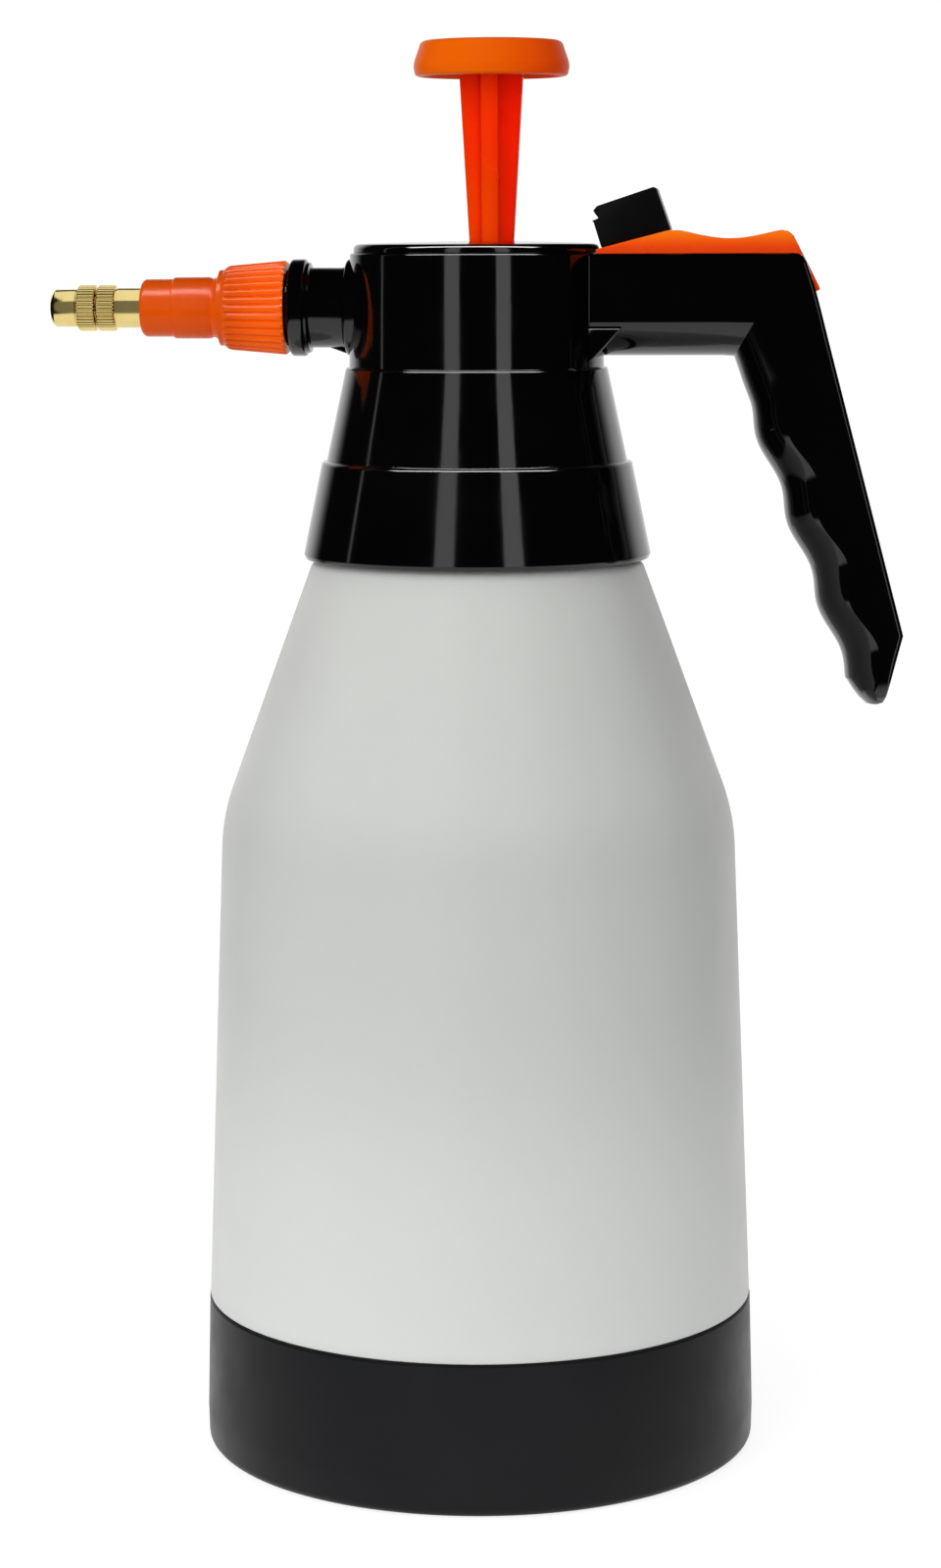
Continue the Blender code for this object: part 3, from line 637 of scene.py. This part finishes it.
def make_spout(look):
    flange_to = -NUT.x - 0.8
    flange_from = flange_to - 3.8
    flange_r = (SPOUT.z - SPOUT_LOW.z) / 2
    barrel_r = 8.9
    outline = [
        (2.0, 22.0),
        (6.0, 22.0),
        (6.0, BOSS_FACE + 0.25),
        (barrel_r + 0.25, BOSS_FACE + 0.1, 0.3),
        (barrel_r, BOSS_FACE + 1.0),
        (barrel_r, flange_from - 0.7, 0.5),
        (flange_r - 0.8, flange_from - 0.7, 0.35),
        (flange_r - 0.7, flange_from + 0.1, 0.2),
        (flange_r, flange_from + 0.2, 0.7),
        (flange_r, flange_to, 0.9),
        (7.7, flange_to, 0.3),
        (7.7, 54.6, 0.4),
        (6.9, 55.6),
        (2.0, 55.6),
    ]
    spout = lathe("outlet_spout_turned", rounded(outline), sides=128, along_x=True)
    piece(spout, look, "head", "gloss_black", "outlet_spout")
    under = NOZZLE_Z - barrel_r
    root_x = -BOSS_FACE + 1
    fin_outline = [(root_x, under + 1.5), (-33.8, under + 1.0), (-33.4, under + 0.2), (root_x, under - 1.7)]
    fin = slab("spout_fin", fin_outline, 0.8, bevel=0.25)
    piece(fin, look, "head", "gloss_black")
    ridge = thread("spout_thread", 7.6, start=45.0, pitch=2.5, turns=3.4, depth=0.45, along_x=True)
    piece(ridge, look, "head", "gloss_black")


def make_nut(look):
    ribs = 32
    rib_height = 0.6
    skirt_end, front = -NUT.x, -NUT_LOW.x
    shoulder, shoulder_r = 55.3, 9.4
    bore_r = 8.45  # clears the spout's thread
    skirt_r = (NUT.z - NUT_LOW.z) / 2

    def relief(angle, height):
        if not skirt_end < height < shoulder + 0.6:
            return 0.0
        fade = min(1.0, (shoulder + 0.6 - height) / 0.9)
        wave = 0.5 + 0.5 * math.cos(ribs * angle)
        return rib_height * (wave**0.5 - 1.0) * fade

    shares = [k / 8 for k in range(9)]
    slope = [
        (skirt_r - (skirt_r - shoulder_r) * share, skirt_end + 0.5 + (shoulder - 0.9 - skirt_end) * share)
        for share in shares
    ]
    outline = [
        (bore_r, skirt_end),
        (skirt_r - 0.35, skirt_end),
        *slope,
        *[(shoulder_r - 2.55 * (1 - math.cos(a)) * 0.5 - 0.3 * k / 6, shoulder - 0.2 + 4.0 * k / 6)
          for k, a in enumerate(math.pi * j / 6 for j in range(7))],
        (6.86, 60.0),
        (6.83, 67.5),
        (6.78, 67.85),
        (6.47, 68.15),
        (6.43, 68.5),
        *[(6.42 - 1.3 * (1 - math.cos(a)), front - 1.3 + 1.3 * math.sin(a))
          for a in (math.pi / 2 * j / 6 for j in range(7))],
        (4.9, front),
        (4.75, front - 0.2),
        (4.75, 62.4),
        (2.6, 62.4),
        (2.6, 57.5),
        (bore_r, 57.5),
    ]
    nut = lathe("nozzle_nut_ribbed", outline, sides=ribs * 12, along_x=True, relief=relief)
    piece(nut, look, "nozzle", "nozzle_orange", "nozzle_nut")


def knurl(start, end):
    """Straight knurls round a brass ring, which run out at its chamfered edges."""
    count = 38
    depth = 0.36

    def relief(angle, height):
        fade = max(0.0, min(1.0, (height - start) / 0.25, (end - height) / 0.25))
        phase = (angle * count / FULL_TURN) % 1.0
        return -depth * abs(2 * phase - 1) ** 2.2 * fade

    return relief, count * 8


def ring_outline(radius, start, end):
    """The outer side of a knurled ring, with points enough for the knurls to run out at its edges."""
    chamfer = 0.3
    inner = [start + 0.1, start + chamfer, start + 0.55, end - 0.55, end - chamfer, end - 0.1]
    radii = [radius - 0.35, radius - 0.05, radius, radius, radius - 0.05, radius - 0.35]
    return list(zip(radii, inner))


def make_nozzle_body(look):
    split = SPLIT - 0.15
    rear_r = 4.45
    ring_r = (BODY.z - BODY_LOW.z) / 2
    ring_start = 81.1
    relief, sides = knurl(ring_start + 0.1, split - 0.1)
    outline = [
        (1.2, -BODY.x),
        (rear_r, -BODY.x),
        (rear_r, ring_start - 0.35),
        (rear_r - 0.2, ring_start - 0.25),
        (rear_r - 0.2, ring_start),
        *ring_outline(ring_r, ring_start, split),
        (rear_r - 0.3, split),
        (2.85, split),
        (2.85, 91.6),
        (1.2, 91.6),
    ]
    body = lathe("nozzle_body_turned", outline, sides, along_x=True, relief=relief, relief_from=BRASS_BORES_R)
    piece(body, look, "nozzle", "brass", "nozzle_body")


def make_nozzle_cap(look):
    split = SPLIT + 0.15
    tip = -TIP_LOW.x
    ring_r = (TIP.z - TIP_LOW.z) / 2
    tip_r = 4.2
    ring_end = 89.8
    relief, sides = knurl(split + 0.1, ring_end - 0.1)
    outline = [
        (3.15, split),
        (tip_r - 0.05, split),
        *ring_outline(ring_r, split, ring_end),
        (tip_r - 0.15, ring_end + 0.02),
        (tip_r - 0.15, ring_end + 0.25),
        (tip_r, ring_end + 0.4),
        (tip_r, tip - 1.0),
        (tip_r - 0.12, tip - 0.8),
        (tip_r - 0.95, tip - 0.05),
        (tip_r - 1.1, tip),
        (1.4, tip),
        (1.25, tip - 0.1),
        (0.5, tip - 0.9),
        (0.5, 92.8),
        (3.15, 92.4),
        (3.15, 88.9),
        (3.85, 88.9),
        (3.85, 87.3),
        (3.15, 87.3),
    ]
    cap = lathe("nozzle_cap_turned", outline, sides, along_x=True, relief=relief, relief_from=BRASS_BORES_R)
    piece(cap, look, "spray_cap", "brass", "nozzle_cap")


# ---- Handle, trigger and lock ----


def back_x(z):
    """The grip's palm side: a straight line that turns in at the tip."""
    return 76.5 + 0.2626 * (258.9 - z) if z > 187.3 else 95.3 - 0.259 * (187.3 - z)


def finger_line_x(z):
    return 60.5 + 0.3715 * (240.5 - z)


def crown_x(z):
    """The finger side's middle, with a swell between fingers."""
    swell = 0.85 * math.cos(FULL_TURN * (z - 211.0) / FINGER_PITCH)
    return finger_line_x(z) - 1.1 - swell


def crease_x(z):
    """Where the flat side turns into the rounded finger side."""
    return finger_line_x(z) + 7.2 - 1.35 * math.cos(FULL_TURN * (z - 213.0) / FINGER_PITCH)


def handle_stations():
    """(outer, crease, crown, half width) along the handle, the first three as (x, z)."""
    half = GRIP.y
    top = GRIP.z
    stations = [((x, top), (x, CREASE_Z), (x, CROWN_Z), half) for x in (22.0, 40.0, 55.0)]
    mitre = ((61.9, CREASE_Z - 0.1), (57.4, CROWN_Z - 0.2))
    corner = [
        ((70.4, top), *mitre),
        ((71.6, top - 0.15), *mitre),
        ((72.6, top - 0.7), *mitre),
        ((73.3, top - 1.9), *mitre),
        ((75.3, 263.4), (63.4, 252.6), (58.3, 245.8)),
        ((76.6, 258.6), (64.9, 249.0), (59.1, 243.4)),
        ((78.4, 251.6), (66.9, 244.6), (60.0, 241.0)),
    ]
    stations += [(*three, half) for three in corner]
    steps = 96
    top_z, tip_z = 238.5, 177.0
    for k in range(steps + 1):
        z = top_z + (tip_z - top_z) * k / steps
        stations.append(((back_x(z), z), (crease_x(z), z), (crown_x(z), z), half))
    stations.append(((92.1, 175.0), (89.2, 175.0), (83.9, 175.0), half - 0.3))
    stations.append(((91.7, 173.6), (89.6, 173.4), (85.3, 173.0), half - 1.2))
    stations.append(((91.1, 172.2), (89.8, 171.9), (87.0, 171.4), half - 3.2))
    stations.append(((90.4, 171.5), (89.9, 171.3), (88.4, 170.9), half - 6.0))
    return stations


def handle_ring(outer, crease, crown, half):
    """One section: a flat back, flat sides with rounded back corners, and an arc across the finger side."""
    outer, crease, crown = Vector(outer), Vector(crease), Vector(crown)
    side = (crease - outer).normalized()
    edge = min(1.1, (crease - outer).length * 0.3, half * 0.3)
    corner = []
    for k in range(5):
        turn = math.pi / 2 * k / 4
        along, across = edge * (1 - math.sin(turn)), edge * (1 - math.cos(turn))
        corner.append((outer + side * across, half - along))
    widest = math.radians(64)
    arc = []
    for k in range(33):
        turn = widest * (1 - 2 * k / 32)
        blend = (math.cos(turn) - math.cos(widest)) / (1 - math.cos(widest))
        arc.append((crease.lerp(crown, blend), -half * math.sin(turn) / math.sin(widest)))
    left = [(at, -y) for at, y in corner]
    right = [(at, y) for at, y in reversed(corner)]
    return [(at.x, y, at.y) for at, y in left + arc + right]


def make_fillet(name, side):
    """The small hollow curve where a flat side of the handle runs into the round head."""
    low, high, size = CREASE_Z - 0.2, RIM_Z - 0.7, 0.55
    y = GRIP.y
    corner = Vector((math.sqrt(RIM_R**2 - y**2), y))
    along_head = Vector((-y, corner.x)).normalized()
    ends = corner + along_head * size, corner + Vector((size, 0))
    section = [ends[0] - corner.normalized() * 0.05]
    for k in range(9):
        share = k / 8
        point = ends[0] * (1 - share) ** 2 + corner * 2 * share * (1 - share) + ends[1] * share**2
        section.append(point)
    section += [ends[1] - Vector((0, 0.1)), corner - Vector((0.2, 0.3))]
    bm = bmesh.new()
    rows = [[bm.verts.new((point.x, side * point.y, z)) for point in section] for z in (low, high)]
    count = len(section)
    for k in range(count):
        bm.faces.new((rows[0][k], rows[0][(k + 1) % count], rows[1][(k + 1) % count], rows[1][k]))
    bm.faces.new(rows[0])
    bm.faces.new(rows[1])
    return new_object(name, bm)


def make_handle(look):
    bm = bmesh.new()
    rings = []
    for station in handle_stations():
        rings.append([bm.verts.new(point) for point in handle_ring(*station)])
    count = len(rings[0])
    for one, two in zip(rings, rings[1:]):
        for k in range(count):
            bm.faces.new((one[k], one[(k + 1) % count], two[(k + 1) % count], two[k]))
    bm.faces.new(rings[0])
    bm.faces.new(rings[-1])
    handle = new_object("handle_moulding", bm, sharp_deg=20)
    floor_z = GRIP.z - 17.0
    step_z = floor_z + 3.3
    channel = [(15, floor_z), (69, floor_z), (69, step_z), (90, step_z), (90, 285), (15, 285)]
    carve(handle, slab("channel_cutter", channel, GRIP.y - 2.0, bevel=0.0))
    piece(handle, look, "head", "gloss_black", "handle")
    for side in (-1, 1):
        web = [(24.0, 254.9), (33.0, 254.9), (26.1, 247.4), (24.0, 247.4)]
        name = "near" if side < 0 else "far"
        gusset = slab(f"handle_web_{name}", web, 1.2, bevel=0.4, middle_y=side * (GRIP.y - 1.25))
        piece(gusset, look, "head", "gloss_black")
        piece(make_fillet(f"handle_fillet_{name}", side), look, "head", "gloss_black")


def on_slope(along, above):
    """(x, z) of a place counted along and above the slope that carries the lock slider."""
    cos, sin = math.cos(SLOPE), math.sin(SLOPE)
    return SLOPE_START[0] + along * cos - above * sin, SLOPE_START[1] + along * sin + above * cos


def lever_top(below=0.0, steps=24):
    """The lever's upper outline, from the slope over the thumb rest, `below` under the surface."""
    dip_from, dip_to, dip_depth, dip_z = 44.9, 67.8, 1.8, 276.2
    points = [on_slope(-2.0, -below), on_slope(8.0, -below), on_slope(15.4, -below)]
    for k in range(steps + 1):
        share = k / steps
        depth = dip_depth * math.sin(math.pi * share) ** 1.2
        points.append((dip_from + (dip_to - dip_from) * share, dip_z - depth - below))
    return points


def make_lever(look):
    x, z = PIVOT.x, PIVOT.z
    rear = [(69.3, 275.9), (70.4, 274.9), (71.6, 272.6), (74.1, 267.8)]
    hook = [(76.4, 263.2), (74.4, 262.4), (71.6, 266.4)]
    lug = [(x + 4.2, 266.2)]
    for k in range(13):
        turn = -math.pi * k / 12
        lug.append((x + 3.6 * math.cos(turn), z + 3.6 * math.sin(turn)))
    outline = lever_top() + rear + hook + lug + [(x - 4.2, 268.0), (x - 6.4, 271.0)]
    half = GRIP.y - 2.4
    lever = slab("trigger_lever_moulding", outline, half, bevel=0.45)
    under = [on_slope(2.7, -2.0), *lever_top(2.0)[2:]]
    hollow = [(31.0, 255), *under, (69.2, 273.0), (71.9, 266.6), (73, 255)]
    carve(lever, slab("hollow_cutter", hollow, half - 2.0, bevel=0.0))
    slot = [on_slope(s, t) for s, t in ((4.0, -4.0), (15.2, -4.0), (15.2, 2.0), (4.0, 2.0))]
    carve(lever, slab("slot_cutter", slot, 2.6, bevel=0.0))
    hole_r = (PIVOT_HIGH.z - PIVOT_LOW.z) / 2 + 0.3
    turns = [FULL_TURN * k / 32 for k in range(32)]
    hole = [(x + hole_r * math.cos(turn), z + hole_r * math.sin(turn)) for turn in turns]
    carve(lever, slab("pin_hole_cutter", hole, half + 5, bevel=0.0))
    nose = [(0, 240), (RIM_R + 0.6, 240), (RIM_R + 0.6, 280), (0, 280)]
    carve(lever, lathe("nose_cutter", nose, sides=128))
    piece(lever, look, "trigger", "orange_plastic", "trigger_lever")


def make_slider(look):
    block = [
        (0.3, 0.03),
        (0.0, 5.9),
        (-0.35, 6.2),
        (1.25, 6.45),
        (0.5, 8.3),
        (1.6, 9.1),
        (14.6, 10.0),
        (15.2, 9.5),
        (16.0, 0.03),
    ]
    slider = slab("lock_slider_moulding", [on_slope(s, t) for s, t in block], 6.5, bevel=0.18)
    piece(slider, look, "lock", "satin_black", "lock_slider")
    stem = [on_slope(s, t) for s, t in ((4.4, -3.0), (8.8, -3.0), (8.8, 1.0), (4.4, 1.0))]
    piece(slab("lock_stem", stem, 2.2, bevel=0.2), look, "lock", "satin_black")
    foot = [on_slope(s, t) for s, t in ((3.6, -4.0), (9.6, -4.0), (9.6, -2.4), (3.6, -2.4))]
    piece(slab("lock_foot", foot, 4.6, bevel=0.2), look, "lock", "satin_black")


# ---- Pieces kept from the frame ----


def repaint(look, *nodes):
    """Gives kept CAD pieces their material."""
    for node in nodes:
        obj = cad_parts[node]
        for slot in obj.material_slots:
            slot.material = look
        if not obj.material_slots:
            obj.data.materials.append(look)


# ---- Studio ----


def make_floor():
    """A round pale floor that fades out into the pale room."""
    radius = 0.62
    bm = bmesh.new()
    bmesh.ops.create_circle(bm, cap_ends=True, segments=128, radius=radius)
    mesh = bpy.data.meshes.new("floor")
    bm.to_mesh(mesh)
    bm.free()
    floor = bpy.data.objects.new("floor", mesh)
    floor.location.z = CAD_BOX[0][2] - 0.0002
    bpy.context.scene.collection.objects.link(floor)
    look = Look("floor_look", (0.3, 0.3, 0.3), 0.6)
    look.set("Specular IOR Level", 0.1)
    look.set("Emission Color", (1, 1, 1, 1))
    look.set("Emission Strength", 0.85)
    look.vary_roughness(3, 0.05)
    length = look.tree.nodes.new("ShaderNodeVectorMath")
    length.operation = "LENGTH"
    fade = look.tree.nodes.new("ShaderNodeMapRange")
    fade.interpolation_type = "SMOOTHSTEP"
    fade.inputs["From Min"].default_value = 0.40
    fade.inputs["From Max"].default_value = radius - 0.02
    fade.inputs["To Min"].default_value = 1.0
    fade.inputs["To Max"].default_value = 0.0
    look.tree.links.new(look.place, length.inputs[0])
    look.tree.links.new(length.outputs["Value"], fade.inputs["Value"])
    look.tree.links.new(fade.outputs["Result"], look.shader.inputs["Alpha"])
    mesh.materials.append(look.material)


def make_world():
    """A pale room, bright behind the object and dark in front of it, which gives the gloss its edges."""
    world = bpy.data.worlds.new("studio")
    bpy.context.scene.world = world
    world.use_nodes = True
    tree = world.node_tree
    tree.nodes.clear()
    place = tree.nodes.new("ShaderNodeTexCoord")
    apart = tree.nodes.new("ShaderNodeSeparateXYZ")
    back = tree.nodes.new("ShaderNodeMapRange")
    back.interpolation_type = "SMOOTHSTEP"
    back.inputs["From Min"].default_value = 0.55
    back.inputs["From Max"].default_value = 0.82
    back.inputs["To Min"].default_value = 0.008
    back.inputs["To Max"].default_value = 1.3
    low = tree.nodes.new("ShaderNodeMapRange")
    low.interpolation_type = "SMOOTHSTEP"
    low.inputs["From Min"].default_value = 0.3
    low.inputs["From Max"].default_value = 0.55
    low.inputs["To Min"].default_value = 1.0
    low.inputs["To Max"].default_value = 0.04
    both = tree.nodes.new("ShaderNodeMath")
    both.operation = "MULTIPLY"
    room = tree.nodes.new("ShaderNodeBackground")
    seen = tree.nodes.new("ShaderNodeBackground")
    seen.inputs["Strength"].default_value = 1.05
    seen.inputs["Color"].default_value = (1, 1, 1, 1)
    path = tree.nodes.new("ShaderNodeLightPath")
    mix = tree.nodes.new("ShaderNodeMixShader")
    out = tree.nodes.new("ShaderNodeOutputWorld")
    tree.links.new(place.outputs["Generated"], apart.inputs["Vector"])
    tree.links.new(apart.outputs["Y"], back.inputs["Value"])
    tree.links.new(apart.outputs["Z"], low.inputs["Value"])
    tree.links.new(back.outputs["Result"], both.inputs[0])
    tree.links.new(low.outputs["Result"], both.inputs[1])
    tree.links.new(both.outputs["Value"], room.inputs["Strength"])
    tree.links.new(path.outputs["Is Camera Ray"], mix.inputs["Fac"])
    tree.links.new(room.outputs["Background"], mix.inputs[1])
    tree.links.new(seen.outputs["Background"], mix.inputs[2])
    tree.links.new(mix.outputs["Shader"], out.inputs["Surface"])


def softbox(name, azimuth, distance, height, width, tall, radiance, glossy=True, diffuse=True, aim_z=0.2):
    """An area light. Azimuth 0 stands in front of the object, at -Y, and positive turns towards +X."""
    light = bpy.data.lights.new(name, "AREA")
    light.shape = "RECTANGLE"
    light.size = width
    light.size_y = tall
    light.energy = radiance * math.pi * width * tall
    turn = math.radians(azimuth)
    place = Vector((distance * math.sin(turn), -distance * math.cos(turn), height))
    obj = bpy.data.objects.new(name, light)
    obj.location = place
    obj.rotation_euler = (Vector((0, 0, aim_z)) - place).to_track_quat("-Z", "Y").to_euler()
    obj.visible_glossy = glossy
    obj.visible_diffuse = diffuse
    obj.visible_camera = False
    bpy.context.scene.collection.objects.link(obj)
    return obj


def reach_only(lights, names):
    """Lets these lights shine on the named pieces alone."""
    group = bpy.data.collections.new(lights[0].name + "_pieces")
    for name in names:
        group.objects.link(bpy.data.objects[name])
    for light in lights:
        light.light_linking.receiver_collection = group


def make_lights():
    """Broad fills that show in no reflection, and strips that show only in the reflections of some pieces."""
    softbox("front_fill", -12.0, 2.2, 1.0, 2.4, 2.4, 2.75, glossy=False)
    softbox("left_fill", -80.0, 1.7, 0.6, 1.5, 1.6, 1.05, glossy=False)
    softbox("right_fill", 85.0, 1.7, 0.6, 1.5, 1.6, 0.78, glossy=False)
    softbox("top_box", 0.0, 0.3, 1.7, 1.4, 1.4, 1.2, glossy=False, aim_z=0.0)
    strips = [
        softbox("left_strip", -17.0, 1.2, 0.75, 0.28, 1.9, 1.5, diffuse=False, aim_z=0.75),
        softbox("right_strip", 28.9, 1.2, 0.75, 0.27, 1.9, 1.6, diffuse=False, aim_z=0.75),
        softbox("side_line", -89.0, 1.2, 0.6, 0.04, 1.6, 0.9, diffuse=False, aim_z=0.6),
    ]
    head = ["head_shell", "top_cap_shell"]
    grip = ["handle_moulding", "handle_web_near", "handle_web_far", "handle_fillet_near", "handle_fillet_far"]
    reach_only(strips, head + grip + ["tank_shell", "base_cup_shell", "lock_slider_moulding"])
    rod_fill = softbox("rod_fill", 45.0, 2.2, 0.7, 2.4, 2.4, 0.6, glossy=False)
    reach_only([rod_fill], ["pump_rod_cross"])
    line = softbox("top_line", 0.0, 0.62, 1.62, 3.4, 0.5, 22.0, diffuse=False, aim_z=0.25)
    reach_only([line], head + ["nozzle_nut_ribbed", "handle_web_near", "handle_web_far"])
    over = softbox("nozzle_top", 0.0, 0.05, 1.3, 1.6, 1.9, 1.1, diffuse=False, aim_z=0.25)
    front = softbox("nozzle_front", -5.0, 1.6, 0.55, 2.6, 2.4, 0.22, diffuse=False, aim_z=0.25)
    reach_only([over, front], ["nozzle_body_turned", "nozzle_cap_turned"])


def make_camera():
    azimuth = math.radians(5.0)
    pitch = math.radians(-8.35)
    distance, height, offset = 848.3, 276.3, -1.75
    away = Vector((math.sin(azimuth), -math.cos(azimuth), 0))
    right = Vector((math.cos(azimuth), math.sin(azimuth), 0))
    data = bpy.data.cameras.new("camera")
    data.lens = 86.6
    data.sensor_width = 36.0
    data.clip_start = 0.05
    data.clip_end = 50.0
    camera = bpy.data.objects.new("camera", data)
    camera.location = (away * distance + right * offset + Vector((0, 0, height))) * MM
    forward = -away * math.cos(pitch) + Vector((0, 0, math.sin(pitch)))
    roll = Matrix.Rotation(math.radians(0.217), 3, forward)
    camera.rotation_euler = (roll @ forward.to_track_quat("-Z", "Y").to_matrix()).to_euler()
    bpy.context.scene.collection.objects.link(camera)
    bpy.context.scene.camera = camera


def main():
    bpy.context.scene.view_settings.view_transform = "Standard"
    black = gloss_black()
    knob_orange = orange_plastic("knob_orange_look", (0.84, 0.122, 0.0004), (0.79, 0.108, 0.0004), 0.34)
    # Painted shade: the knob turns deeper red towards its +X side, the handle side.
    knob_orange.paint_light_and_shade_along("X", PUMP_X - 4, PUMP_X + 18, (0.88, 0.072, 0.0004))
    knob_orange.set("Specular IOR Level", 0.07)
    rod_orange = orange_plastic("rod_orange_look", (1.0, 0.038, 0.0003), (0.92, 0.030, 0.0003), 0.25, 0.7)
    # Painted light and shade: the rod is deeper red near the knob, above Z 298, and paler below Z 282.
    rod_orange.paint_light_and_shade_along("Z", 298.0, 282.0, (1.0, 0.062, 0.0003))
    # Painted shade: the rod turns deeper red on its +X side.
    rod_orange.paint_light_and_shade_along("X", PUMP_X - 0.5, PUMP_X + 4, (1.0, 0.015, 0.0003))
    lever_orange = orange_plastic("lever_orange_look", (0.93, 0.062, 0.0005), (0.88, 0.056, 0.0005), 0.28)
    # Painted highlight: the lever turns paler towards its top, from Z 272 up to 277.
    lever_orange.paint_light_and_shade_along("Z", 272.0, 277.0, (1.0, 0.21, 0.001))
    nut_orange = orange_plastic("nozzle_orange_look", (0.73, 0.082, 0.0005), (0.68, 0.072, 0.0005), 0.26)
    # Painted light and shade: the nut is darker on its front barrel and paler on the ribbed skirt, from X -58
    # to -46.
    nut_orange.paint_light_and_shade_along("X", -58.0, -46.0, (0.98, 0.118, 0.0008))
    nut_orange.set("Specular IOR Level", 0.12)
    brass = turned_brass()
    rubber = black_rubber()
    white = white_moulding()
    steel = drawn_steel()

    make_tank(milky_plastic())
    make_base_cup(base_plastic())
    make_head(black)
    make_top_cap(black)
    make_rod(rod_orange.material)
    make_knob(knob_orange.material)
    make_spout(black)
    make_nut(nut_orange.material)
    make_nozzle_body(brass)
    make_nozzle_cap(brass)
    make_handle(black)
    make_lever(lever_orange.material)
    make_slider(satin_black())

    repaint(white, "pump_barrel", "piston", "dip_tube_strainer", "valve_body", "swirl_core")
    repaint(rubber, "neck_gasket", "barrel_o_ring", "check_valve", "piston_seal", "valve_seal")
    repaint(rubber, "outlet_washer", "nozzle_o_ring")
    repaint(tube_plastic(), "dip_tube", "feed_tube")
    repaint(steel, "valve_pin", "valve_spring", "trigger_pivot_pin")
    repaint(brass, "valve_gland")
    repaint(black, "rod_bush")

    make_floor()
    make_world()
    make_lights()
    make_camera()


main()
